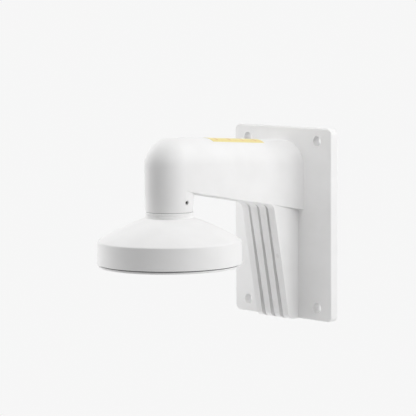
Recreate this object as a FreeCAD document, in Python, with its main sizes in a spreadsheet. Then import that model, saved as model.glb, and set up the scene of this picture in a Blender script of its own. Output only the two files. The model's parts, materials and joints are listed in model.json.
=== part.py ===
"""Pendant wall bracket for a dome camera: a hollow cast arm with its wall plate, and a cap screwed into it.

Frame, in millimetres: the wall is the plane y = 0, the origin is the centre of the wall plate's hole
pattern, the arm reaches out along -Y and +Z is up.
"""
import FreeCAD, Part
import Sketcher
import math
import os
from FreeCAD import Placement, Rotation, Vector

doc = FreeCAD.newDocument("camera_wall_bracket")
sheet = doc.addObject("Spreadsheet::Sheet", "sizes")

SIZES = [
    ("plate_width", 108.4, "wall plate, across"),
    ("plate_height", 150.0, "wall plate, up"),
    ("plate_depth", 7.0, "wall to the plate's front face"),
    ("plate_skin", 2.6, "thickness of the plate's front skin"),
    ("plate_rim", 3.2, "thickness of the rim round the plate's hollow back"),
    ("plate_corner", 5.0, "radius of the plate's corners"),
    ("plate_edge", 1.0, "rounding of the plate's front edge"),
    ("hole_inset_x", 15.2, "plate's side edge to the wall holes"),
    ("hole_inset_z", 10.0, "plate's upper or lower edge to the wall holes"),
    ("hole_diameter", 8.2, "wall holes"),
    ("hole_boss", 18.0, "diameter of the boss round each wall hole, behind the skin"),
    ("web_thickness", 2.4, "webs across the plate's hollow back"),
    ("web_setback", 0.8, "webs stop this far short of the wall"),
    ("web_middle_level", -12.5, "height of the webs below the arm"),
    ("web_lower_level", -41.0, "height of the webs beside the gusset"),
    ("arm_reach", 124.5, "wall to the neck's axis"),
    ("arm_radius", 18.7, "half the arm's width, and the radius of its crown"),
    ("casting_wall", 3.0, "wall thickness of the arm"),
    ("elbow_radius", 20.5, "outer radius of the elbow, seen from the side"),
    ("crown_level", 64.35, "height of the crown where it meets the plate"),
    ("crown_slope", 3.9, "degrees that the crown falls towards the wall"),
    ("crown_bend", 402.0, "radius of the crown just behind the elbow"),
    ("underside_level", 10.9, "height of the arm's underside where it meets the plate"),
    ("underside_slope", 10.3, "degrees that the underside falls towards the wall"),
    ("underside_round", 0.7, "rounding of the arm's lower edges"),
    ("flare_length", 26.3, "the arm's sides spread over this length before the plate"),
    ("flare_spread", 5.6, "how far each side of the arm spreads at the plate"),
    ("flare_corner", 20.0, "radius of the arm's upper corners at the plate"),
    ("crown_seam", 0.05, "half the width of the flat along the crown where the flare starts"),
    ("neck_bottom", 16.35, "height of the neck's lower end"),
    ("neck_draft", 0.5, "the neck is this much smaller in radius at its lower end"),
    ("neck_draft_height", 13.8, "height over which the neck narrows"),
    ("neck_chamfer", 0.25, "bevel of the neck's lower edge"),
    ("bore_radius", 13.2, "threaded bore of the neck"),
    ("bore_runout", 3.7, "that bore goes on this far above the cap's spigot"),
    ("lock_rise", 7.4, "neck's lower end up to the lock screw"),
    ("lock_bearing", 95.0, "degrees from straight out round to the lock screw"),
    ("lock_diameter", 3.0, "lock screw"),
    ("lock_length", 4.1, "lock screw"),
    ("lock_socket", 1.5, "lock screw's hexagon, across flats"),
    ("lock_socket_depth", 1.8, "depth of that hexagon"),
    ("lock_bevel", 0.3, "bevel of the lock screw's ends"),
    ("tip_gap", 0.02, "gap between the lock screw's tip and the spigot"),
    ("gusset_step", 0.3, "each side of the gusset lies this far inside the arm's, under the arm"),
    ("gusset_taper", 0.4, "each side of the gusset comes in this far more at its foot"),
    ("gusset_foot", 17.0, "wall to the gusset's face at its foot"),
    ("gusset_slope", 10.3, "degrees that the gusset's face leans"),
    ("gusset_blend", 6.0, "radius of the blend between gusset and arm"),
    ("gusset_round", 0.3, "rounding of the gusset's two long front edges"),
    ("gusset_foot_round", 5.5, "rounding of the gusset's foot, seen from the side"),
    ("groove_pitch", 9.9, "grooves in the gusset's face, centre to centre"),
    ("groove_top", 2.3, "width of a groove at its top"),
    ("groove_foot", 4.0, "width of a groove at its foot"),
    ("groove_depth_top", 2.1, "depth of a groove under the blend"),
    ("groove_depth_foot", 3.7, "depth of a groove at its foot"),
    ("groove_runout", 9.5, "radius in which a groove's floor runs out at its top"),
    ("groove_reach", 1.0, "a groove runs out this far past the blend, along the arm"),
    ("groove_backing", 2.4, "wall thickness behind a groove's floor"),
    ("thread_gap", 0.15, "radial gap between the cap's spigot and the neck's bore"),
    ("seal_thickness", 0.4, "ring between neck and cap"),
    ("seal_inset", 0.4, "that ring's outside lies this far inside the neck"),
    ("seal_gap", 0.1, "radial gap between that ring and the spigot"),
    ("spigot_length", 15.0, "the cap's spigot, above its collar"),
    ("spigot_wall", 3.05, "wall thickness of the spigot"),
    ("spigot_chamfer", 1.0, "bevel of the spigot's upper end"),
    ("collar_step", 0.15, "the collar stands this far outside the neck"),
    ("collar_height", 4.4, "collar of the cap"),
    ("collar_chamfer", 0.3, "bevel of the collar's upper edge"),
    ("collar_groove", 0.6, "width of the fine groove round the collar"),
    ("collar_groove_drop", 2.1, "collar's top to the middle of that groove"),
    ("collar_groove_depth", 0.35, "depth of that groove"),
    ("rim_radius", 54.8, "cap at its lower edge"),
    ("rim_draft", 0.5, "the cap is this much smaller in radius at the foot of its cone"),
    ("cone_drop", 17.25, "height of the cone"),
    ("cone_bulge", 200.0, "radius of the slight bulge of the cone, seen from the side"),
    ("rim_height", 17.0, "height of the cap's rim"),
    ("cap_wall", 2.8, "wall thickness of the cap"),
    ("shoulder_round", 1.2, "rounding between cone and rim"),
    ("boss_inset", 10.8, "cap's lower edge in to the circle of the adaptor screws"),
    ("boss_radius", 4.5, "the cap's bosses"),
    ("boss_hole_gap", 0.1, "radial gap round an adaptor screw in its boss"),
    ("boss_hole_depth", 10.0, "depth of that hole"),
    ("boss_web", 2.4, "thickness of the web between a boss and the rim"),
    ("gasket_thickness", 0.9, "gasket between the cap and the adaptor plate"),
    ("gasket_inset", 1.8, "the gasket's outside lies this far inside the cap's lower edge"),
    ("gasket_width", 3.2, "gasket, outside to inside"),
    ("adaptor_inset", 1.2, "the adaptor plate's edge lies this far inside the cap's lower edge"),
    ("adaptor_flange", 1.5, "thickness of the adaptor plate's edge"),
    ("adaptor_edge", 0.5, "bevel of the adaptor plate's lower edge"),
    ("pad_gap", 0.3, "gap between the gasket and the plate's raised middle"),
    ("cable_radius", 20.0, "radius of the cable opening in the adaptor plate"),
    ("camera_circle", 35.0, "radius of the circle of the camera's screws"),
    ("camera_thread", 4.0, "camera screws, nominal diameter"),
    ("nut_shank", 2.7, "radius of a press nut's shank"),
    ("nut_radius", 4.0, "radius of a press nut's head"),
    ("nut_head", 3.0, "height of a press nut's head"),
    ("press_gap", 0.02, "radial gap round a press nut's shank"),
    ("nut_setback", 0.1, "a press nut's shank ends this far inside the plate's lower face"),
    ("screw_diameter", 4.0, "adaptor screws"),
    ("screw_length", 10.0, "adaptor screws, head included"),
    ("screw_head", 3.9, "radius of an adaptor screw's head"),
    ("screw_socket", 2.5, "an adaptor screw's hexagon, across flats"),
    ("screw_socket_depth", 1.6, "depth of that hexagon"),
    ("screw_bevel", 0.4, "bevel of an adaptor screw's tip"),
    ("screw_clearance", 0.25, "radial gap round an adaptor screw's shank in the plate"),
    ("seat_gap", 0.03, "gap under an adaptor screw's head"),
    ("sink_gap", 0.1, "the screw heads lie this far inside the plate's lower face"),
    ("label_length", 53.2, "label, along the arm"),
    ("label_half_width", 9.4, "half the label's width"),
    ("label_margin", 2.7, "start of the flare to the label's near end"),
    ("label_thickness", 0.15, "label"),
    ("overshoot", 1.0, "what is cut away is drawn this far past the face that it opens"),
]
BOSS_COUNT = 3
NUT_COUNT = 4
GROOVE_SIDES = (-1, 0, 1)
FLARE_STEPS = 3
CORNERS = ((-1, -1), (1, -1), (1, 1), (-1, 1))
NEAR = 0.01

for row, (alias, value, meaning) in enumerate(SIZES, start=1):
    sheet.set("A%d" % row, meaning)
    sheet.set("B%d" % row, str(value))
    sheet.setAlias("B%d" % row, alias)
doc.recompute()


def number(expression):
    """Value of a sheet expression."""
    result = sheet.evalExpression(expression)
    return float(getattr(result, "Value", result))


def bind(target, **properties):
    """Sets properties of an object from sheet expressions; a double underscore stands for a dot."""
    for name, expression in properties.items():
        target.setExpression(name.replace("__", "."), expression)
    return target


def new_body(name):
    return doc.addObject("PartDesign::Body", name)


def sketch_on(body, name, role, depth="0"):
    """Sketch on one of the body's origin planes, moved along the plane's normal by depth."""
    sketch = body.newObject("Sketcher::SketchObject", name)
    plane = [feature for feature in body.Origin.OriginFeatures if feature.Role == role][0]
    sketch.AttachmentSupport = [(plane, "")]
    sketch.MapMode = "FlatFace"
    sketch.setExpression("AttachmentOffset.Base.z", depth)
    return sketch


def arc_between(start, end, radius, side):
    """Arc from start to end with the given radius; side 1 bulges to the right of the way there."""
    chord = end - start
    half = chord.Length / 2.0
    across = Vector(chord.y, -chord.x, 0).normalize() * side
    rise = radius - math.sqrt(max(radius * radius - half * half, 0.0))
    return Part.Arc(start, (start + end) / 2.0 + across * rise, end)


def constrain(sketch, kind, expression, *where):
    """Adds a constraint whose value follows a sheet expression."""
    place = sketch.addConstraint(Sketcher.Constraint(kind, *where, number(expression)))
    sketch.setExpression("Constraints[%d]" % place, expression)


def draw(sketch, corners, arcs=None, closed=True):
    """Line through corners, each a pair of sheet expressions.

    arcs gives, for the edge that leaves a corner, its radius as an expression and the side that it bulges to:
    1 for the right of the way along the line, -1 for the left.
    """
    arcs = arcs or {}
    points = [Vector(number(x), number(y), 0) for x, y in corners]
    edges = len(points) if closed else len(points) - 1
    tails, heads = [], []
    for index in range(edges):
        start, end = points[index], points[(index + 1) % len(points)]
        if index in arcs:
            radius, side = arcs[index]
            sketch.addGeometry(arc_between(start, end, number(radius), side), False)
            constrain(sketch, "Radius", radius, index)
            # A sketch stores each arc anticlockwise, so one that bulges to the left is stored from its end.
            tails.append(1 if side > 0 else 2)
            heads.append(2 if side > 0 else 1)
        else:
            sketch.addGeometry(Part.LineSegment(start, end), False)
            tails.append(1)
            heads.append(2)
    for index in range(edges if closed else edges - 1):
        following = (index + 1) % edges
        meeting = Sketcher.Constraint("Coincident", index, heads[index], following, tails[following])
        sketch.addConstraint(meeting)
    for index, (x, y) in enumerate(corners):
        edge, end = (index, tails[index]) if index < edges else (index - 1, heads[index - 1])
        constrain(sketch, "DistanceX", x, -1, 1, edge, end)
        constrain(sketch, "DistanceY", y, -1, 1, edge, end)
    return sketch


def pad(body, sketch, name, length, reverse=False, both=False):
    feature = body.newObject("PartDesign::Pad", name)
    feature.Profile = sketch
    feature.SideType = "Symmetric" if both else "One side"
    feature.Reversed = reverse
    feature.setExpression("Length", length)
    doc.recompute()
    return feature


def pocket_through(body, sketch, name):
    """Cuts the sketch through the whole body, both ways."""
    feature = body.newObject("PartDesign::Pocket", name)
    feature.Profile = sketch
    feature.SideType = "Symmetric"
    feature.Type = "ThroughAll"
    doc.recompute()
    return feature


def revolve(body, sketch, name, axis="V_Axis", angle="360"):
    feature = body.newObject("PartDesign::Revolution", name)
    feature.Profile = sketch
    feature.ReferenceAxis = (sketch, [axis])
    feature.setExpression("Angle", angle)
    doc.recompute()
    return feature


def fillet(body, base, name, chosen, radius):
    """Rounds the edges of base for which chosen(edge) is true."""
    edges = ["Edge%d" % n for n, edge in enumerate(base.Shape.Edges, start=1) if chosen(edge)]
    feature = body.newObject("PartDesign::Fillet", name)
    feature.Base = (base, edges)
    feature.setExpression("Radius", radius)
    doc.recompute()
    return feature


def cylinder(name, radius, height, axis="z", x="0", y="0", z="0"):
    """Part cylinder along +Z or, with axis y, along +Y."""
    rod = doc.addObject("Part::Cylinder", name)
    if axis == "y":
        rod.Placement = Placement(Vector(), Rotation(Vector(-1, 0, 0), 90))
    return bind(rod, Radius=radius, Height=height, Placement__Base__x=x, Placement__Base__y=y,
                Placement__Base__z=z)


def box(name, length, width, height, x, y, z):
    block = doc.addObject("Part::Box", name)
    return bind(block, Length=length, Width=width, Height=height, Placement__Base__x=x, Placement__Base__y=y,
                Placement__Base__z=z)


def join(name, pieces):
    result = doc.addObject("Part::MultiFuse", name)
    result.Shapes = pieces
    result.Refine = True
    doc.recompute()
    return result


def cut(name, base, tool):
    result = doc.addObject("Part::Cut", name)
    result.Base = base
    result.Tool = tool
    result.Refine = True
    doc.recompute()
    return result


# Places that follow from the sizes, as sheet expressions.
NECK_Y = "(-sizes.arm_reach)"
BEND_Y = "(sizes.elbow_radius - sizes.arm_radius - sizes.arm_reach)"
CROWN_END_Y = "(%s + sizes.crown_bend * sin(sizes.crown_slope))" % BEND_Y
APEX_Z = ("(sizes.crown_level - (sizes.plate_depth + %s) * tan(sizes.crown_slope)"
          " + sizes.crown_bend * (1 - cos(sizes.crown_slope)))" % CROWN_END_Y)
BEND_Z = "(%s - sizes.elbow_radius)" % APEX_Z
FLARE_Y = "(-sizes.plate_depth - sizes.flare_length)"
FLARE_HALF = "(sizes.arm_radius + sizes.flare_spread)"
NECK_RADIUS = "(sizes.arm_radius - sizes.neck_draft)"
HOLE_X = "(sizes.plate_width / 2 - sizes.hole_inset_x)"
HOLE_Z = "(sizes.plate_height / 2 - sizes.hole_inset_z)"
COLLAR_RADIUS = "(%s + sizes.collar_step)" % NECK_RADIUS
COLLAR_TOP = "(sizes.neck_bottom - sizes.seal_thickness)"
SPIGOT_RADIUS = "(sizes.bore_radius - sizes.thread_gap)"
SPIGOT_BORE = "(%s - sizes.spigot_wall)" % SPIGOT_RADIUS
SPIGOT_TOP = "(%s + sizes.spigot_length)" % COLLAR_TOP
BORE_TOP = "(%s + sizes.bore_runout)" % SPIGOT_TOP
CONE_TOP = "(%s - sizes.collar_height)" % COLLAR_TOP
RIM_TOP = "(%s - sizes.cone_drop)" % CONE_TOP
RIM_BOTTOM = "(%s - sizes.rim_height)" % RIM_TOP
ADAPTOR_TOP = "(%s - sizes.gasket_thickness)" % RIM_BOTTOM
ADAPTOR_BOTTOM = "(%s - sizes.adaptor_flange)" % ADAPTOR_TOP


def crown_at(y):
    """Height of the straight part of the crown at a distance y from the wall."""
    return "(sizes.crown_level - (sizes.plate_depth + %s) * tan(sizes.crown_slope))" % y


def underside_at(y):
    return "(sizes.underside_level - (sizes.plate_depth + %s) * tan(sizes.underside_slope))" % y


def gusset_face_at(z):
    """Distance from the wall of the gusset's leaning face at height z."""
    return "(-sizes.gusset_foot - (%s + sizes.plate_height / 2) * tan(sizes.gusset_slope))" % z


def flat_top(body, name, y, z, half_width, corner, up, down):
    """Upright section of the arm at y, drawn about height z: straight sides under a round-cornered top."""
    sketch = sketch_on(body, name, "XZ_Plane", "-1 * %s" % y)
    sketch.setExpression("AttachmentOffset.Base.y", z)
    return draw(sketch, [
        ("-1 * %s" % half_width, "-1 * %s" % down), (half_width, "-1 * %s" % down),
        (half_width, "%s - %s" % (up, corner)), ("%s - %s" % (half_width, corner), up),
        ("%s - %s" % (corner, half_width), up), ("-1 * %s" % half_width, "%s - %s" % (up, corner)),
    ], arcs={2: (corner, 1), 4: (corner, 1)})


def round_top(body, name, y, z, radius, rise, down):
    """Upright section at y, drawn about height z: straight sides up to rise, under a half circle."""
    sketch = sketch_on(body, name, "XZ_Plane", "-1 * %s" % y)
    sketch.setExpression("AttachmentOffset.Base.y", z)
    return draw(sketch, [
        ("-1 * %s" % radius, "-1 * %s" % down), (radius, "-1 * %s" % down), (radius, rise),
        ("0", "%s + %s" % (rise, radius)), ("-1 * %s" % radius, rise),
    ], arcs={2: (radius, 1), 3: (radius, 1)})


def arm_core(name, inset, wall_end):
    """Elbow, arm and flare in one body, inset by an expression, that ends wall_end behind the wall plane."""
    body = new_body(name)
    radius = "(sizes.arm_radius - %s)" % inset
    bend = "(sizes.elbow_radius - sizes.arm_radius)"
    low = "(sizes.underside_level - sizes.plate_depth)"

    elbow = round_top(body, name + "_elbow_half", BEND_Y, BEND_Z, radius, bend, "0")
    revolve(body, elbow, name + "_elbow", axis="H_Axis", angle="90")

    axis_start = "(%s - sizes.arm_radius)" % APEX_Z
    axis_end = "(%s - sizes.arm_radius / cos(sizes.crown_slope))" % crown_at(FLARE_Y)
    drop = "(%s - %s)" % (axis_start, low)
    section = round_top(body, name + "_crown_section", BEND_Y, axis_start, radius, "0", drop)
    spine_radius = "(sizes.crown_bend - sizes.arm_radius)"
    spine = draw(sketch_on(body, name + "_crown_line", "YZ_Plane"), [
        (BEND_Y, axis_start),
        ("%s + %s * sin(sizes.crown_slope)" % (BEND_Y, spine_radius),
         "%s - %s * (1 - cos(sizes.crown_slope))" % (axis_start, spine_radius)),
        (FLARE_Y, axis_end),
    ], arcs={0: (spine_radius, -1)}, closed=False)
    crown = body.newObject("PartDesign::AdditivePipe", name + "_crown")
    crown.Profile = section
    crown.Spine = spine
    doc.recompute()

    # The first section leans with the crown, as the crown's own end does; the rest stand upright.
    seam = "sizes.crown_seam"
    drop = "(%s - %s)" % (axis_end, low)
    leaning = flat_top(body, name + "_flare_0", FLARE_Y, axis_end, radius, "(%s - %s)" % (radius, seam),
                       radius, drop)
    leaning.AttachmentOffset = Placement(Vector(), Rotation(Vector(-1, 0, 0), number("sizes.crown_slope")))
    leaning.setExpression("AttachmentOffset.Rotation.Angle", "sizes.crown_slope")
    sections = []
    for step in range(1, FLARE_STEPS + 1):
        share = "(%d / %d)" % (step, FLARE_STEPS)
        y = "(%s + sizes.flare_length * %s)" % (FLARE_Y, share)
        half = "(%s + sizes.flare_spread * %s * %s)" % (radius, share, share)
        corner = ("(%s + (sizes.flare_corner - sizes.arm_radius + %s) * %s - %s)"
                  % (radius, seam, share, seam))
        top = "(%s - %s - %s)" % (crown_at(y), inset, low)
        sections.append(flat_top(body, name + "_flare_%d" % step, y, low, half, corner, top, "0"))
    flare = body.newObject("PartDesign::AdditiveLoft", name + "_flare")
    flare.Profile = leaning
    flare.Sections = sections
    doc.recompute()

    half = "(%s - %s)" % (FLARE_HALF, inset)
    corner = "(sizes.flare_corner - %s)" % inset
    mouth = flat_top(body, name + "_mouth_section", "(-sizes.plate_depth)", low, half, corner,
                     "(sizes.crown_level - %s - %s)" % (inset, low), "0")
    pad(body, mouth, name + "_mouth", "sizes.plate_depth + %s" % wall_end, reverse=True)

    cheek = draw(sketch_on(body, name + "_cheek_section", "YZ_Plane"),
                 [(NECK_Y, low), (BEND_Y, low), (BEND_Y, BEND_Z), (NECK_Y, BEND_Z)])
    pad(body, cheek, name + "_cheek", "2 * %s" % radius, both=True)

    lift = "(%s / cos(sizes.underside_slope))" % inset
    beyond = "(%s - sizes.arm_radius)" % NECK_Y
    behind = "sizes.plate_depth"
    under = draw(sketch_on(body, name + "_under_section", "YZ_Plane"), [
        (beyond, "%s + %s" % (underside_at(beyond), lift)), (beyond, "%s - sizes.plate_height" % low),
        (behind, "%s - sizes.plate_height" % low), (behind, "%s + %s" % (underside_at(behind), lift)),
    ])
    pocket_through(body, under, name + "_under")
    return body


def trapezoid(body, name, low, high, half_low, half_high):
    """Upright sketch facing out from the wall, with its half width at height low and at height high."""
    return draw(sketch_on(body, name, "XZ_Plane"), [
        ("-1 * %s" % half_low, low), (half_low, low), (half_high, high), ("-1 * %s" % half_high, high)])


# The corner where the gusset's face would meet the arm's underside, and the ends of the blend that fills it.
FOOT_Z = "(-sizes.plate_height / 2)"
FAR_Y = "(%s - sizes.arm_radius)" % NECK_Y
GUSSET_FOOT_HALF = "(sizes.arm_radius - sizes.gusset_step - sizes.gusset_taper)"
CORNER_Y = ("((-sizes.gusset_foot - (sizes.underside_level - sizes.plate_depth * tan(sizes.underside_slope)"
            " - %s) * tan(sizes.gusset_slope))"
            " / (1 - tan(sizes.underside_slope) * tan(sizes.gusset_slope)))" % FOOT_Z)
CORNER_Z = underside_at(CORNER_Y)
BLEND_RUN = "(sizes.gusset_blend / tan(45 + (sizes.gusset_slope + sizes.underside_slope) / 2))"
BLEND_LOW = ("(%s + %s * sin(sizes.gusset_slope))" % (CORNER_Y, BLEND_RUN),
             "(%s - %s * cos(sizes.gusset_slope))" % (CORNER_Z, BLEND_RUN))
BLEND_HIGH = ("(%s - %s * cos(sizes.underside_slope))" % (CORNER_Y, BLEND_RUN),
              "(%s + %s * sin(sizes.underside_slope))" % (CORNER_Z, BLEND_RUN))


def gusset_half_at(z):
    return ("(%s + sizes.gusset_taper * (%s - %s) / (sizes.underside_level - %s))"
            % (GUSSET_FOOT_HALF, z, FOOT_Z, FOOT_Z))


def gusset():
    """Solid wedge under the arm, its face leaning and blended into the arm's underside."""
    body = new_body("gusset")
    top = "(%s + sizes.casting_wall)" % BLEND_HIGH[1]
    front = trapezoid(body, "gusset_front", FOOT_Z, top, GUSSET_FOOT_HALF, gusset_half_at(top))
    pad(body, front, "gusset_block", "sizes.plate_height / 2")
    below = "(%s - sizes.plate_depth)" % FOOT_Z
    above = "(%s + sizes.plate_depth)" % top
    face = draw(sketch_on(body, "gusset_face", "YZ_Plane"), [
        (gusset_face_at(below), below), BLEND_LOW, BLEND_HIGH, (BLEND_HIGH[0], above), (FAR_Y, above),
        (FAR_Y, below),
    ], arcs={1: ("sizes.gusset_blend", 1)})
    base = pocket_through(body, face, "gusset_lean")
    foot_z, high_z = number(FOOT_Z), number(BLEND_HIGH[1])
    half_depth = number("sizes.gusset_foot / 2")

    def foot_edge(edge):
        middle = edge.BoundBox.Center
        return abs(middle.z - foot_z) < NEAR and abs(middle.x) < NEAR and middle.y < -half_depth

    def long_edge(edge):
        middle = edge.BoundBox.Center
        return abs(middle.x) > NEAR and middle.z < high_z and middle.y < -half_depth

    rounded = fillet(body, base, "gusset_foot_edge", foot_edge, "sizes.gusset_foot_round")
    fillet(body, rounded, "gusset_long_edges", long_edge, "sizes.gusset_round")
    return body


def gusset_hollow():
    """Core of the gusset, open at the wall, under the arm's own underside wall."""
    body = new_body("gusset_hollow")
    floor = "(%s + sizes.plate_rim)" % FOOT_Z
    deep_foot = "(sizes.groove_depth_foot + sizes.groove_backing - sizes.gusset_foot)"
    deep_top = "(%s + sizes.groove_depth_top + sizes.groove_backing)" % CORNER_Y
    past = "sizes.overshoot"
    section = draw(sketch_on(body, "gusset_hollow_section", "YZ_Plane"), [
        (past, floor), (deep_foot, floor), (deep_top, underside_at(deep_top)), (past, underside_at(past))])
    pad(body, section, "gusset_hollow_block", "2 * (%s - sizes.casting_wall)" % GUSSET_FOOT_HALF, both=True)
    return body


def groove_cutter(side):
    """Tapering tool for one groove: everything in front of the groove's floor."""
    name = "groove_cutter_%d" % (side + 2)
    body = new_body(name)
    low = "(%s - sizes.plate_depth)" % FOOT_Z
    high = "(%s + sizes.plate_depth)" % BLEND_HIGH[1]

    def half_at(z):
        return ("((sizes.groove_foot - (sizes.groove_foot - sizes.groove_top) * (%s - %s) / (%s - %s)) / 2)"
                % (z, FOOT_Z, BLEND_LOW[1], FOOT_Z))

    front = trapezoid(body, name + "_front", low, high, half_at(low), half_at(high))
    pad(body, front, name + "_bar", "sizes.plate_height / 2")
    runout = ("(%s - sizes.groove_reach * cos(sizes.underside_slope))" % BLEND_HIGH[0],
              "(%s + sizes.groove_reach * sin(sizes.underside_slope))" % BLEND_HIGH[1])
    floor_top = ("(%s + sizes.groove_depth_top)" % BLEND_LOW[0], BLEND_LOW[1])
    floor_foot = ("(sizes.groove_depth_foot - sizes.gusset_foot)", FOOT_Z)
    lean = "((%s - %s) / (%s - %s))" % (floor_foot[0], floor_top[0], floor_top[1], FOOT_Z)
    behind = "sizes.plate_depth"
    above = "(%s + sizes.plate_height)" % high
    keep = draw(sketch_on(body, name + "_floor", "YZ_Plane"), [
        ("%s + %s * (%s - %s)" % (floor_foot[0], lean, FOOT_Z, low), low), floor_top, runout,
        (FAR_Y, underside_at(FAR_Y)), (FAR_Y, above), (behind, above), (behind, low),
    ], arcs={1: ("sizes.groove_runout", 1)})
    pocket_through(body, keep, name + "_front_only")
    return bind(body, Placement__Base__x="%d * sizes.groove_pitch" % side)


def wall_plate():
    body = new_body("wall_plate")
    half = "(sizes.plate_width / 2)"
    front = trapezoid(body, "wall_plate_outline", FOOT_Z, "(-1 * %s)" % FOOT_Z, half, half)
    block = pad(body, front, "wall_plate_block", "sizes.plate_depth")
    upright = fillet(body, block, "wall_plate_corners", lambda edge: edge.BoundBox.YLength > NEAR,
                     "sizes.plate_corner")
    face_y = number("-sizes.plate_depth")

    def on_face(edge):
        return abs(edge.BoundBox.YMin - face_y) < NEAR and edge.BoundBox.YLength < NEAR

    fillet(body, upright, "wall_plate_edge", on_face, "sizes.plate_edge")
    return body


def neck():
    body = new_body("neck")
    profile = draw(sketch_on(body, "neck_profile", "XZ_Plane", "sizes.arm_reach"), [
        ("0", "sizes.neck_bottom"), ("%s - sizes.neck_chamfer" % NECK_RADIUS, "sizes.neck_bottom"),
        (NECK_RADIUS, "sizes.neck_bottom + sizes.neck_chamfer"),
        ("sizes.arm_radius", "sizes.neck_bottom + sizes.neck_draft_height"), ("sizes.arm_radius", BEND_Z),
        ("0", BEND_Z)])
    revolve(body, profile, "neck_turned")
    return body


def at_wall_holes(name, diameter, length, y):
    """Four cylinders along the wall holes' axes, starting at y."""
    return [cylinder("%s_%d" % (name, index), "%s / 2" % diameter, length, "y",
                     "%d * %s" % (across, HOLE_X), y, "%d * %s" % (up, HOLE_Z))
            for index, (across, up) in enumerate(CORNERS, start=1)]


def tray(core, wedge):
    """What is cored out behind the plate's skin: all but the rim, arm, gusset, hole bosses and webs."""
    skin_back = "(sizes.plate_skin - sizes.plate_depth)"
    inner_width = "(sizes.plate_width - 2 * sizes.plate_rim)"
    inner_height = "(sizes.plate_height - 2 * sizes.plate_rim)"
    hollow = box("tray_block", inner_width, "sizes.plate_depth", inner_height,
                 "-%s / 2" % inner_width, skin_back, "-%s / 2" % inner_height)
    kept = [core, wedge] + at_wall_holes("hole_boss", "sizes.hole_boss", "sizes.plate_depth",
                                         "-sizes.plate_depth")
    middle = "((sizes.crown_level + sizes.underside_level) / 2)"
    depth = "(sizes.plate_depth - sizes.web_setback)"
    levels = (("upper", middle), ("middle", "sizes.web_middle_level"), ("lower", "sizes.web_lower_level"))
    for name, z in levels:
        kept.append(box("web_" + name, inner_width, depth, "sizes.web_thickness",
                        "-%s / 2" % inner_width, "-sizes.plate_depth", "%s - sizes.web_thickness / 2" % z))
    kept.append(box("web_top", "sizes.web_thickness", depth, "sizes.plate_height / 2 - %s" % middle,
                    "-sizes.web_thickness / 2", "-sizes.plate_depth", middle))
    return cut("tray", hollow, join("tray_kept", kept))


def lock_place(target, distance):
    """Puts a piece that points along its own +Z on the lock screw's line, distance from the neck's axis."""
    target.Placement = Placement(Vector(), Rotation(Vector(0, 0, 1), number("sizes.lock_bearing - 90"))
                                 * Rotation(Vector(0, 1, 0), 90))
    return bind(target, Placement__Base__x="%s * sin(sizes.lock_bearing)" % distance,
                Placement__Base__y="-sizes.arm_reach - %s * cos(sizes.lock_bearing)" % distance,
                Placement__Base__z="sizes.neck_bottom + sizes.lock_rise")


def lower_edges(core):
    """Rounds the arm's two lower edges."""
    slope = number("tan(sizes.underside_slope)")
    level, depth = number("sizes.underside_level"), number("sizes.plate_depth")

    def on_underside(edge):
        ends = [vertex.Point for vertex in edge.Vertexes]
        flat = all(abs(level - (depth + end.y) * slope - end.z) < NEAR for end in ends)
        return flat and edge.BoundBox.YLength > NEAR and abs(edge.BoundBox.Center.x) > NEAR

    fillet(core, core.Tip, "arm_lower_edges", on_underside, "sizes.underside_round")


def arm_casting():
    core = arm_core("arm", "0", "0")
    lower_edges(core)
    wedge = gusset()
    outside = join("casting_outside", [wall_plate(), core, neck(), wedge])
    bore = cylinder("neck_bore", "sizes.bore_radius", "%s - sizes.neck_bottom + sizes.overshoot" % BORE_TOP,
                    y=NECK_Y, z="sizes.neck_bottom - sizes.overshoot")
    shaft = cylinder("neck_shaft", "sizes.arm_radius - sizes.casting_wall", "%s - %s" % (BEND_Z, BORE_TOP),
                     y=NECK_Y, z=BORE_TOP)
    lock = cylinder("lock_hole", "sizes.lock_diameter / 2 + sizes.thread_gap / 2", NECK_RADIUS)
    lock_place(lock, "(sizes.bore_radius - sizes.overshoot)")
    channel = arm_core("channel", "sizes.casting_wall", "sizes.overshoot")
    tools = [channel, gusset_hollow(), tray(core, wedge), bore, shaft, lock]
    tools += [groove_cutter(side) for side in GROOVE_SIDES]
    tools += at_wall_holes("wall_hole", "sizes.hole_diameter", "sizes.plate_depth + 2 * sizes.overshoot",
                           "-sizes.plate_depth - sizes.overshoot")
    return cut("arm_casting", outside, join("casting_inside", tools))


# The inside of the cap, under the wall thickness of its cone and rim.
RIM_TOP_RADIUS = "(sizes.rim_radius - sizes.rim_draft)"
CONE_FALL = "(sizes.cone_drop / (%s - %s))" % (RIM_TOP_RADIUS, COLLAR_RADIUS)
CONE_WALL = "(sizes.cap_wall * sqrt(1 + %s * %s))" % (CONE_FALL, CONE_FALL)
HUB_BOTTOM = "(%s - %s)" % (CONE_TOP, CONE_WALL)
RIM_INSIDE_TOP = "(%s - sizes.cap_wall)" % RIM_TOP_RADIUS
RIM_INSIDE_BOTTOM = "(sizes.rim_radius - sizes.cap_wall)"
RIM_CEILING = "(%s - (%s - %s) * %s)" % (HUB_BOTTOM, RIM_INSIDE_TOP, COLLAR_RADIUS, CONE_FALL)
BOSS_CIRCLE = "(sizes.rim_radius - sizes.boss_inset)"
GASKET_OUTER = "(sizes.rim_radius - sizes.gasket_inset)"
GASKET_INNER = "(%s - sizes.gasket_width)" % GASKET_OUTER
ADAPTOR_RADIUS = "(sizes.rim_radius - sizes.adaptor_inset)"


def turned(name, corners, depth="sizes.arm_reach", arcs=None):
    """Body turned about the neck's axis from a profile in radius and height."""
    body = new_body(name)
    profile = draw(sketch_on(body, name + "_profile", "XZ_Plane", depth), corners, arcs)
    revolve(body, profile, name + "_turned")
    return body


def around(radius, angle):
    """Place on a circle about the neck's axis; angle 0 is straight out from the wall."""
    return "%s * sin(%s)" % (radius, angle), "-sizes.arm_reach - %s * cos(%s)" % (radius, angle)


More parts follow.
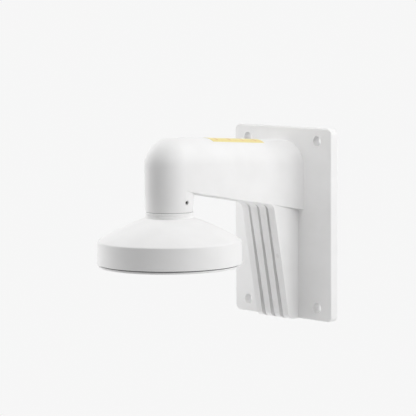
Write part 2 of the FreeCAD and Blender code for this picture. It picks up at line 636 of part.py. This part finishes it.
def boss_angle(index):
    return "(%d * 360 / %d)" % (index, BOSS_COUNT)


def nut_angle(index):
    return "(%d * 360 / %d + 180 / %d)" % (index, NUT_COUNT, NUT_COUNT)


def pendant_cap():
    groove_z = "(%s - sizes.collar_groove_drop)" % COLLAR_TOP
    outside = turned("cap_outside", [
        ("0", SPIGOT_TOP), ("%s - sizes.spigot_chamfer" % SPIGOT_RADIUS, SPIGOT_TOP),
        (SPIGOT_RADIUS, "%s - sizes.spigot_chamfer" % SPIGOT_TOP), (SPIGOT_RADIUS, COLLAR_TOP),
        ("%s - sizes.collar_chamfer" % COLLAR_RADIUS, COLLAR_TOP),
        (COLLAR_RADIUS, "%s - sizes.collar_chamfer" % COLLAR_TOP),
        (COLLAR_RADIUS, "%s + sizes.collar_groove / 2" % groove_z),
        ("%s - sizes.collar_groove_depth" % COLLAR_RADIUS, groove_z),
        (COLLAR_RADIUS, "%s - sizes.collar_groove / 2" % groove_z),
        (COLLAR_RADIUS, CONE_TOP), (RIM_TOP_RADIUS, RIM_TOP), ("sizes.rim_radius", RIM_BOTTOM),
        ("0", RIM_BOTTOM)], arcs={9: ("sizes.cone_bulge", -1)})
    rim_top, radius = number(RIM_TOP), number(RIM_TOP_RADIUS)

    def at_shoulder(edge):
        ring = edge.Curve
        circle = edge.Closed and hasattr(ring, "Radius")
        return circle and abs(ring.Radius - radius) < NEAR and abs(ring.Center.z - rim_top) < NEAR

    fillet(outside, outside.Tip, "cap_shoulder", at_shoulder, "sizes.shoulder_round")
    above, below = "%s + sizes.overshoot" % SPIGOT_TOP, "%s - sizes.overshoot" % RIM_BOTTOM
    inside = turned("cap_inside", [
        ("0", above), (SPIGOT_BORE, above), (SPIGOT_BORE, HUB_BOTTOM), (COLLAR_RADIUS, HUB_BOTTOM),
        (RIM_INSIDE_TOP, RIM_CEILING), (RIM_INSIDE_BOTTOM, RIM_BOTTOM),
        (RIM_INSIDE_BOTTOM, below), ("0", below)], arcs={3: ("sizes.cone_bulge - sizes.cap_wall", -1)})
    boss_height = "%s - %s" % (CONE_TOP, RIM_BOTTOM)
    web_length = "%s - %s" % (RIM_INSIDE_BOTTOM, BOSS_CIRCLE)
    hole_radius = "sizes.screw_diameter / 2 + sizes.boss_hole_gap"
    bosses, holes = [], []
    for index in range(BOSS_COUNT):
        x, y = around(BOSS_CIRCLE, boss_angle(index))
        bosses.append(cylinder("cap_boss_%d" % (index + 1), "sizes.boss_radius", boss_height, x=x, y=y,
                               z=RIM_BOTTOM))
        web = box("cap_boss_web_%d" % (index + 1), "sizes.boss_web", web_length, boss_height, "0", "0",
                  RIM_BOTTOM)
        web.Placement = Placement(Vector(), Rotation(Vector(0, 0, 1), 180 + number(boss_angle(index))))
        # The web starts at the boss's centre, half its own thickness to one side.
        corner = ("(%s + sizes.boss_web / 2 * cos%s)" % (x, boss_angle(index)),
                  "(%s + sizes.boss_web / 2 * sin%s)" % (y, boss_angle(index)))
        bosses.append(bind(web, Placement__Base__x=corner[0], Placement__Base__y=corner[1]))
        holes.append(cylinder("cap_boss_hole_%d" % (index + 1), hole_radius,
                              "sizes.boss_hole_depth + sizes.overshoot", x=x, y=y, z=below))
    hollow = cut("cap_hollow", inside, join("cap_bosses", bosses))
    return cut("pendant_cap", outside, join("cap_tools", [hollow] + holes))


def neck_seal():
    """Flat ring in the seam between neck and cap."""
    inner = "(%s + sizes.seal_gap)" % SPIGOT_RADIUS
    outer = "(%s - sizes.seal_inset)" % NECK_RADIUS
    return turned("neck_seal", [(inner, COLLAR_TOP), (outer, COLLAR_TOP), (outer, "sizes.neck_bottom"),
                                (inner, "sizes.neck_bottom")])


def hexagon(name, across_flats, depth):
    """Tool for a hexagon socket, along +Z from its floor."""
    prism = doc.addObject("Part::Prism", name)
    prism.Polygon = 6
    return bind(prism, Circumradius="%s / sqrt(3)" % across_flats, Height=depth)


def lock_screw():
    """Set screw in the side of the neck, drawn from its tip along +Z."""
    radius, bevel, length = "sizes.lock_diameter / 2", "sizes.lock_bevel", "sizes.lock_length"
    blank = turned("lock_blank", [
        ("0", "0"), ("%s - %s" % (radius, bevel), "0"), (radius, bevel),
        (radius, "%s - %s" % (length, bevel)), ("%s - %s" % (radius, bevel), length), ("0", length)], "0")
    socket = hexagon("lock_socket_tool", "sizes.lock_socket", "sizes.lock_socket_depth + sizes.overshoot")
    bind(socket, Placement__Base__z="sizes.lock_length - sizes.lock_socket_depth")
    return lock_place(cut("lock_screw", blank, socket), "(%s + sizes.tip_gap)" % SPIGOT_RADIUS)


def adaptor_gasket():
    """Flat ring that shows as the dark line under the cap's rim."""
    return turned("adaptor_gasket", [(GASKET_INNER, ADAPTOR_TOP), (GASKET_OUTER, ADAPTOR_TOP),
                                     (GASKET_OUTER, RIM_BOTTOM), (GASKET_INNER, RIM_BOTTOM)])


def adaptor_plate():
    """Disc that closes the cap and takes the camera; its middle is raised to the cap's bosses."""
    raised = "(%s - sizes.pad_gap)" % GASKET_INNER
    disc = turned("adaptor_disc", [
        ("sizes.cable_radius", ADAPTOR_BOTTOM),
        ("%s - sizes.adaptor_edge" % ADAPTOR_RADIUS, ADAPTOR_BOTTOM),
        (ADAPTOR_RADIUS, "%s + sizes.adaptor_edge" % ADAPTOR_BOTTOM), (ADAPTOR_RADIUS, ADAPTOR_TOP),
        (raised, ADAPTOR_TOP), (raised, RIM_BOTTOM), ("sizes.cable_radius", RIM_BOTTOM)])
    below = "%s - sizes.overshoot" % ADAPTOR_BOTTOM
    through = "%s - %s + 2 * sizes.overshoot" % (RIM_BOTTOM, ADAPTOR_BOTTOM)
    tools = []
    for index in range(NUT_COUNT):
        x, y = around("sizes.camera_circle", nut_angle(index))
        tools.append(cylinder("nut_hole_%d" % (index + 1), "sizes.nut_shank + sizes.press_gap", through,
                              x=x, y=y, z=below))
    for index in range(BOSS_COUNT):
        x, y = around(BOSS_CIRCLE, boss_angle(index))
        shank = "(sizes.screw_diameter / 2 + sizes.screw_clearance)"
        mouth = "(sizes.screw_head + sizes.sink_gap + sizes.seat_gap * sqrt(2) + sizes.overshoot)"
        tools.append(cylinder("screw_hole_%d" % (index + 1), shank, through, x=x, y=y, z=below))
        sink = doc.addObject("Part::Cone", "screw_sink_%d" % (index + 1))
        tools.append(bind(sink, Radius1=mouth, Radius2=shank, Height="%s - %s" % (mouth, shank),
                          Placement__Base__x=x, Placement__Base__y=y, Placement__Base__z=below))
    return cut("adaptor_plate", disc, join("adaptor_tools", tools))


def adaptor_screw(index):
    """Countersunk screw with a hexagon socket, from its head along +Z."""
    name = "adaptor_screw_%d" % (index + 1)
    radius, length, bevel = "sizes.screw_diameter / 2", "sizes.screw_length", "sizes.screw_bevel"
    blank = turned(name + "_blank", [
        ("0", "0"), ("sizes.screw_head", "0"), (radius, "sizes.screw_head - %s" % radius),
        (radius, "%s - %s" % (length, bevel)), ("%s - %s" % (radius, bevel), length), ("0", length)], "0")
    socket = hexagon(name + "_socket", "sizes.screw_socket", "sizes.screw_socket_depth + sizes.overshoot")
    bind(socket, Placement__Base__z="-sizes.overshoot")
    x, y = around(BOSS_CIRCLE, boss_angle(index))
    return bind(cut(name, blank, socket), Placement__Base__x=x, Placement__Base__y=y,
                Placement__Base__z="%s + sizes.sink_gap" % ADAPTOR_BOTTOM)


def camera_nut(index):
    """Press nut: a round head on the plate's upper face and a shank in the plate."""
    name = "camera_nut_%d" % (index + 1)
    shank = "(%s - %s - sizes.nut_setback)" % (RIM_BOTTOM, ADAPTOR_BOTTOM)
    x, y = around("sizes.camera_circle", nut_angle(index))
    body = turned(name, [
        ("sizes.camera_thread / 2", "-1 * %s" % shank), ("sizes.nut_shank", "-1 * %s" % shank),
        ("sizes.nut_shank", "0"), ("sizes.nut_radius", "0"), ("sizes.nut_radius", "sizes.nut_head"),
        ("sizes.camera_thread / 2", "sizes.nut_head")], "0")
    return bind(body, Placement__Base__x=x, Placement__Base__y=y, Placement__Base__z=RIM_BOTTOM)


def crown_label():
    """Thin sticker bent round the crown of the arm, along its straight stretch."""
    start_y = "(%s - sizes.label_margin)" % FLARE_Y
    axis_z = "(%s - sizes.arm_radius / cos(sizes.crown_slope))" % crown_at(start_y)
    half_angle = "(asin(sizes.label_half_width / (sizes.arm_radius + sizes.label_thickness)))"
    sheets = []
    for name, radius in (("label_outside", "sizes.arm_radius + sizes.label_thickness"),
                         ("label_inside", "sizes.arm_radius")):
        rod = doc.addObject("Part::Cylinder", name)
        sheets.append(bind(rod, Radius=radius, Height="sizes.label_length"))
    bind(sheets[0], Angle="2 * %s" % half_angle)
    # Turned so that the sector is centred on the rod's upper side once the rod points out from the wall.
    sheets[0].Placement = Placement(Vector(), Rotation(Vector(0, 0, 1), 90))
    sheets[0].setExpression("Placement.Rotation.Angle", "90 deg - %s" % half_angle)
    label = cut("crown_label", *sheets)
    label.Placement = Placement(Vector(), Rotation(Vector(1, 0, 0), 90 - number("sizes.crown_slope")))
    return bind(label, Placement__Base__y=start_y, Placement__Base__z=axis_z)


sub_parts = [arm_casting(), pendant_cap(), neck_seal(), lock_screw(), adaptor_gasket(), adaptor_plate()]
sub_parts += [adaptor_screw(index) for index in range(BOSS_COUNT)]
sub_parts += [camera_nut(index) for index in range(NUT_COUNT)]
sub_parts.append(crown_label())
doc.recompute()

for item in doc.Objects:
    if "Invalid" in item.State or "Error" in item.State:
        raise RuntimeError("%s failed: %s" % (item.Name, item.State))
for item in sub_parts:
    if item.Shape.isNull() or not item.Shape.isValid():
        raise RuntimeError("%s has no valid shape" % item.Label)

os.makedirs("parts", exist_ok=True)
for item in sub_parts:
    item.Shape.exportStep("parts/%s.step" % item.Label)
    print(item.Label, len(item.Shape.Solids), "solid", round(item.Shape.Volume / 1000, 2), "cm3")
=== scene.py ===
"""Studio scene of the camera wall bracket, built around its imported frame."""
import bpy
import json
import math
from mathutils import Matrix, Vector


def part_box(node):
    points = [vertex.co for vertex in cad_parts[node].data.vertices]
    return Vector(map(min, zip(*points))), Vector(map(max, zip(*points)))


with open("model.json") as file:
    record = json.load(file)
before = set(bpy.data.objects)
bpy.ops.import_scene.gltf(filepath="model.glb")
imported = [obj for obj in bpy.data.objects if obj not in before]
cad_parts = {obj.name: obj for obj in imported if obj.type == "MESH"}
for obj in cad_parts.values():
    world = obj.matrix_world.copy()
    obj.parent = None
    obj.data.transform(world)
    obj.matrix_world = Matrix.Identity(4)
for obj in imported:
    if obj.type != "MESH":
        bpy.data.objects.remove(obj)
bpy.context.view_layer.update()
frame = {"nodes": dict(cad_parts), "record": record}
nodes = frame["nodes"]

MM = 0.001

# The photograph's camera: its frame and focal length in pixels, and its place about the bracket.
FRAME_PX = 416
FOCAL_PX = 2198.36
SENSOR_MM = 36.0
CAMERA_BEARING = 48.0
CAMERA_RISE = 5.482
CAMERA_ROLL = -0.381
CAMERA_DISTANCE = 1696.776 * MM
CLIP_END = 100.0
LOOK_AT = Vector((0.0, -60.0 * MM, 0.0))
LOOK_ASIDE = -18.874 * MM
LOOK_ABOVE = 14.367 * MM

# Soft boxes are aimed at this point. Each has its bearing from -Y towards +X and its rise in degrees,
# its distance and width in metres, and its power in watts.
AIM = Vector((0.0, -70.0 * MM, 0.0))
SOFT_BOXES = {
    "front_left": (-40.0, 0.0, 1.3, 0.9, 1.8),
    "left_high": (-75.0, 35.0, 1.3, 0.9, 7.1),
    "left_low": (-75.0, -12.0, 1.3, 0.9, 4.6),
    "right_near": (100.0, 30.0, 0.6, 0.4, 1.62),
    "right": (120.0, 0.0, 1.3, 0.9, 2.6),
    "right_back": (135.0, 15.0, 1.3, 0.9, 3.1),
    "right_low": (100.0, -12.0, 1.3, 0.9, 1.8),
    "behind": (190.0, 15.0, 1.3, 0.9, 5.0),
    "front_high": (-5.0, 35.0, 1.3, 0.9, 4.5),
    "top_near": (40.0, 75.0, 0.6, 0.4, 0.8),
    "under": (0.0, -90.0, 0.25, 0.4, 0.12),
}

# World strengths: the light on the object, and the background that the camera and mirrors see.
AMBIENT = 0.1
BACKGROUND = 0.925
WHITE = (1.0, 1.0, 1.0, 1.0)

# The floor fades out between these two distances from its middle.
FLOOR_Z = -0.26
FLOOR_RADIUS = 4.0
FLOOR_CORNERS = 128
FLOOR_FADE_START = 0.25
FLOOR_FADE_END = 0.55
FLOOR_COLOUR = (0.9, 0.9, 0.9, 1.0)

# Colours of the finishes, linear.
PAINT = (0.861, 0.858, 0.857)
PAINT_THIN = (0.832, 0.829, 0.826)
LABEL = (0.83, 0.73, 0.315)
LABEL_BAND = (0.81, 0.655, 0.25)
LABEL_PRINT = (0.68, 0.34, 0.18)
RUBBER = (0.15, 0.15, 0.152)
RUBBER_DUSTY = (0.19, 0.19, 0.188)
SILICONE = (0.40, 0.40, 0.405)
SILICONE_DUSTY = (0.44, 0.44, 0.435)
BLACK_STEEL = (0.02, 0.02, 0.022)
BLACK_STEEL_WORN = (0.045, 0.043, 0.042)
ZINC = (0.66, 0.66, 0.64)
ZINC_DULL = (0.52, 0.52, 0.51)

# Parts of the noise's range that a ramp stretches over the whole of its own.
EVEN = (0.3, 0.7)
PATCHY = (0.35, 0.7)
SPOTTED = (0.4, 0.7)
DUSTED = (0.4, 0.75)
FADED = (0.3, 0.8)

# Gloss of the finishes. A pair is the range over which the roughness wanders.
PAINT_ROUGHNESS = (0.60, 0.68)
PAINT_IOR = 1.5
PAINT_SPECULAR = 0.3
ZINC_ROUGHNESS = (0.28, 0.42)
LABEL_ROUGHNESS = 0.38
RUBBER_ROUGHNESS = 0.75
BLACK_STEEL_ROUGHNESS = 0.42
BLACK_STEEL_METALLIC = 0.6

# The round mark that an ejector pin left on the gusset's face. It is full up to one share of its radius and
# gone from the other.
EJECTOR_MARK = Vector((14.7, -26.2, -24.5)) * MM
MARK_RADIUS = 1.8 * MM
MARK_FULL = 0.8
MARK_GONE = 1.1
MARK_TINT = (0.79, 0.785, 0.78)

# The sticker's print: short ticks across it, and a deeper band along each long edge.
TICK_COUNT = 4
TICK_WIDTH = 1.4 * MM
TICK_REACH = 7.0 * MM
BAND_EDGE = 1.2 * MM
BAND_WIDTH = 3.0 * MM
PRINT_COVER = (0.75, 1.0)


def camera_axes(bearing, rise):
    """Unit vectors back, right and up of a camera or lamp at a bearing from -Y towards +X."""
    a, e = math.radians(bearing), math.radians(rise)
    back = Vector((math.sin(a) * math.cos(e), -math.cos(a) * math.cos(e), math.sin(e)))
    right = Vector((math.cos(a), math.sin(a), 0.0))
    return back, right, back.cross(right)


def put(name, data, right, up, back, place):
    """Adds a camera or lamp to the scene at a place, facing away from back."""
    thing = bpy.data.objects.new(name, data)
    thing.matrix_world = Matrix((
        (right.x, up.x, back.x, place.x),
        (right.y, up.y, back.y, place.y),
        (right.z, up.z, back.z, place.z),
        (0.0, 0.0, 0.0, 1.0)))
    bpy.context.scene.collection.objects.link(thing)
    return thing


def add_camera():
    back, right, up = camera_axes(CAMERA_BEARING, CAMERA_RISE)
    place = LOOK_AT + right * LOOK_ASIDE + up * LOOK_ABOVE + back * CAMERA_DISTANCE
    roll = math.radians(CAMERA_ROLL)
    across = right * math.cos(roll) + up * math.sin(roll)
    upward = up * math.cos(roll) - right * math.sin(roll)
    data = bpy.data.cameras.new("camera")
    data.sensor_fit = "HORIZONTAL"
    data.sensor_width = SENSOR_MM
    data.lens = SENSOR_MM * FOCAL_PX / FRAME_PX
    data.clip_end = CLIP_END
    bpy.context.scene.camera = put("camera", data, across, upward, back, place)


def add_lights():
    for name, (bearing, rise, distance, width, power) in SOFT_BOXES.items():
        back, right, up = camera_axes(bearing, rise)
        data = bpy.data.lights.new(name, "AREA")
        data.shape = "DISK"
        data.size = width
        data.energy = power
        lamp = put(name, data, right, up, back, AIM + back * distance)
        lamp.visible_camera = False


class Graph:
    """Node graph of one material or of the world, with its nodes cleared."""

    def __init__(self, owner):
        owner.use_nodes = True
        self.tree = owner.node_tree
        self.tree.nodes.clear()

    def feed(self, socket, value):
        """Links a socket to another node's output, or sets it to a value."""
        if isinstance(value, bpy.types.NodeSocket):
            self.tree.links.new(value, socket)
        else:
            socket.default_value = value

    def add(self, kind, inputs=None, **settings):
        """Adds a node; inputs maps a socket's name or number to a value or to another node's output."""
        node = self.tree.nodes.new(kind)
        for name, value in settings.items():
            setattr(node, name, value)
        for key, value in (inputs or {}).items():
            self.feed(node.inputs[key], value)
        return node

    def math(self, operation, first, second=0.0):
        return self.add("ShaderNodeMath", {0: first, 1: second}, operation=operation).outputs[0]

    def place(self):
        """Where a point is in the part's frame, in metres."""
        return self.add("ShaderNodeTexCoord").outputs["Object"]

    def noise(self, scale, detail=2.0, roughness=0.5):
        """Noise about 0.5, with its scale in waves a metre."""
        inputs = {"Vector": self.place(), "Scale": scale, "Detail": detail, "Roughness": roughness}
        return self.add("ShaderNodeTexNoise", inputs).outputs["Fac"]

    def ramp(self, value, low, high, out_low=0.0, out_high=1.0, **settings):
        """Maps low to out_low and high to out_high, and holds those values beyond."""
        inputs = {"Value": value, "From Min": low, "From Max": high, "To Min": out_low, "To Max": out_high}
        return self.add("ShaderNodeMapRange", inputs, **settings).outputs["Result"]

    def blend(self, share, first, second):
        """Mixes two colours, each three numbers or another node's output."""
        node = self.add("ShaderNodeMix", {"Factor": share}, data_type="RGBA")
        colour_inputs = [socket for socket in node.inputs if socket.type == "RGBA"]
        for socket, colour in zip(colour_inputs, (first, second)):
            self.feed(socket, (*colour, 1.0) if isinstance(colour, tuple) else colour)
        return next(socket for socket in node.outputs if socket.type == "RGBA")

    def bump(self, height, distance, strength, under=None):
        """Normal of a relief whose height runs over a distance in metres, on top of the one under it."""
        inputs = {"Height": height, "Distance": distance, "Strength": strength}
        if under is not None:
            inputs["Normal"] = under
        return self.add("ShaderNodeBump", inputs).outputs["Normal"]

    def finish(self, colour, roughness, normal, **sockets):
        """Ends a material in one shader. Sockets are named with _ where the shader has a space."""
        inputs = {"Base Color": colour, "Roughness": roughness, "Normal": normal}
        inputs.update((name.replace("_", " "), value) for name, value in sockets.items())
        shader = self.add("ShaderNodeBsdfPrincipled", inputs)
        self.add("ShaderNodeOutputMaterial", {"Surface": shader.outputs[0]})


def new_graph(name):
    material = bpy.data.materials.new(name)
    return material, Graph(material)


def mark_share(graph, centre):
    """1 inside the round mark, 0 outside it, with a soft edge."""
    inputs = {0: graph.place(), 1: centre}
    away = graph.add("ShaderNodeVectorMath", inputs, operation="DISTANCE").outputs["Value"]
    return graph.ramp(away, MARK_RADIUS * MARK_FULL, MARK_RADIUS * MARK_GONE, 1.0, 0.0)


def powder_coat(name, mark=None):
    """White satin powder coat: faint unevenness in colour and gloss, orange peel, and perhaps a mark."""
    material, graph = new_graph(name)
    patches = graph.ramp(graph.noise(scale=45.0, detail=3.0), *PATCHY)
    tint = graph.blend(patches, PAINT, PAINT_THIN)
    gloss = graph.ramp(graph.noise(scale=260.0), *EVEN, *PAINT_ROUGHNESS)
    peel = graph.bump(graph.noise(scale=900.0, detail=1.0), distance=0.06 * MM, strength=0.35)
    fine = graph.noise(scale=4200.0, roughness=0.6)
    grain = graph.bump(fine, distance=0.01 * MM, strength=0.3, under=peel)
    if mark is not None:
        tint = graph.blend(mark_share(graph, mark), tint, MARK_TINT)
    graph.finish(tint, gloss, grain, IOR=PAINT_IOR, Specular_IOR_Level=PAINT_SPECULAR)
    return material


def rubber(name, clean=RUBBER, dusty=RUBBER_DUSTY):
    """Matt rubber with a little dust in its grain."""
    material, graph = new_graph(name)
    dust = graph.ramp(graph.noise(scale=700.0, detail=3.0), *DUSTED)
    grain = graph.bump(graph.noise(scale=3000.0), distance=0.02 * MM, strength=0.4)
    graph.finish(graph.blend(dust, clean, dusty), RUBBER_ROUGHNESS, grain)
    return material


def silicone(name):
    """Grey silicone, for the ring between the neck and the cap."""
    return rubber(name, SILICONE, SILICONE_DUSTY)


def black_steel(name):
    """Black oxide steel, worn a little paler in spots."""
    material, graph = new_graph(name)
    worn = graph.ramp(graph.noise(scale=1500.0, detail=3.0), *SPOTTED)
    tint = graph.blend(worn, BLACK_STEEL, BLACK_STEEL_WORN)
    grain = graph.bump(graph.noise(scale=5000.0), distance=0.01 * MM, strength=0.4)
    graph.finish(tint, BLACK_STEEL_ROUGHNESS, grain, Metallic=BLACK_STEEL_METALLIC)
    return material


def plated_steel(name):
    """Zinc-plated steel with dull patches."""
    material, graph = new_graph(name)
    dull = graph.ramp(graph.noise(scale=900.0, detail=4.0), *PATCHY)
    gloss = graph.ramp(graph.noise(scale=1800.0, detail=3.0), *EVEN, *ZINC_ROUGHNESS)
    grain = graph.bump(graph.noise(scale=6000.0), distance=0.01 * MM, strength=0.3)
    graph.finish(graph.blend(dull, ZINC, ZINC_DULL), gloss, grain, Metallic=1.0)
    return material


def vinyl(name):
    """Yellow sticker with plain printed bands and ticks, measured from the label's own box."""
    material, graph = new_graph(name)
    low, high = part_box("crown_label")
    split = graph.add("ShaderNodeSeparateXYZ", {0: graph.place()}).outputs
    aside = graph.math("ABSOLUTE", split["X"])
    pitch = (high.y - low.y) / TICK_COUNT
    from_tick = graph.math("PINGPONG", graph.math("SUBTRACT", split["Y"], low.y + pitch / 2), pitch / 2)
    ticks = graph.math("LESS_THAN", from_tick, TICK_WIDTH / 2)
    ticks = graph.math("MULTIPLY", ticks, graph.math("LESS_THAN", aside, TICK_REACH))
    from_band = graph.math("SUBTRACT", high.x - BAND_EDGE - BAND_WIDTH / 2, aside)
    bands = graph.math("LESS_THAN", graph.math("ABSOLUTE", from_band), BAND_WIDTH / 2)
    cover = graph.ramp(graph.noise(scale=900.0), *FADED, *PRINT_COVER)
    ground = graph.blend(graph.math("MULTIPLY", bands, cover), LABEL, LABEL_BAND)
    tint = graph.blend(graph.math("MULTIPLY", ticks, cover), ground, LABEL_PRINT)
    waves = graph.bump(graph.noise(scale=500.0), distance=0.03 * MM, strength=0.25)
    graph.finish(tint, LABEL_ROUGHNESS, waves)
    return material


# The finish of each material slot in the record.
FINISHES = {
    "painted_casting": powder_coat,
    "painted_sheet": powder_coat,
    "seal_silicone": silicone,
    "gasket_rubber": rubber,
    "black_steel": black_steel,
    "plated_steel": plated_steel,
    "label_vinyl": vinyl,
}


def set_material(node, material):
    materials = nodes[node].data.materials
    materials.clear()
    materials.append(material)


def finish_nodes():
    """Gives every CAD node the finish of its slot, and the arm's casting one with the ejector mark."""
    made = {}
    for part in frame["record"]["subparts"]:
        slot = part["material_slot"]
        if slot not in made:
            made[slot] = FINISHES[slot](slot)
        set_material(part["node"], made[slot])
    set_material("arm_casting", powder_coat("painted_casting_marked", mark=EJECTOR_MARK))


def pale_rays(graph):
    """1 for rays that see the pale background: from the camera, off a gloss or through glass."""
    path = graph.add("ShaderNodeLightPath").outputs
    seen = graph.math("MAXIMUM", path["Is Camera Ray"], path["Is Glossy Ray"])
    return graph.math("MAXIMUM", seen, path["Is Transmission Ray"])


def add_world():
    world = bpy.data.worlds.new("studio")
    bpy.context.scene.world = world
    graph = Graph(world)
    ambient, pale = (graph.add("ShaderNodeBackground", {"Color": WHITE, "Strength": strength}).outputs[0]
                     for strength in (AMBIENT, BACKGROUND))
    mixed = graph.add("ShaderNodeMixShader", {0: pale_rays(graph), 1: ambient, 2: pale})
    graph.add("ShaderNodeOutputWorld", {"Surface": mixed.outputs[0]})


def add_floor():
    """Round pale floor that fades into the background away from the bracket."""
    bpy.ops.mesh.primitive_circle_add(vertices=FLOOR_CORNERS, radius=FLOOR_RADIUS, fill_type="NGON",
                                      location=(0.0, LOOK_AT.y, FLOOR_Z))
    floor = bpy.context.object
    floor.name = "floor"
    material, graph = new_graph("floor")
    reach = graph.add("ShaderNodeVectorMath", {0: graph.place()}, operation="LENGTH").outputs["Value"]
    fade = graph.ramp(reach, FLOOR_FADE_START, FLOOR_FADE_END, interpolation_type="SMOOTHSTEP")
    matt = graph.add("ShaderNodeBsdfDiffuse", {"Color": FLOOR_COLOUR}).outputs[0]
    clear = graph.add("ShaderNodeBsdfTransparent").outputs[0]
    mixed = graph.add("ShaderNodeMixShader", {0: fade, 1: matt, 2: clear})
    graph.add("ShaderNodeOutputMaterial", {"Surface": mixed.outputs[0]})
    floor.data.materials.append(material)


add_camera()
add_lights()
add_world()
add_floor()
finish_nodes()

bpy.context.scene.view_settings.view_transform = "Standard"
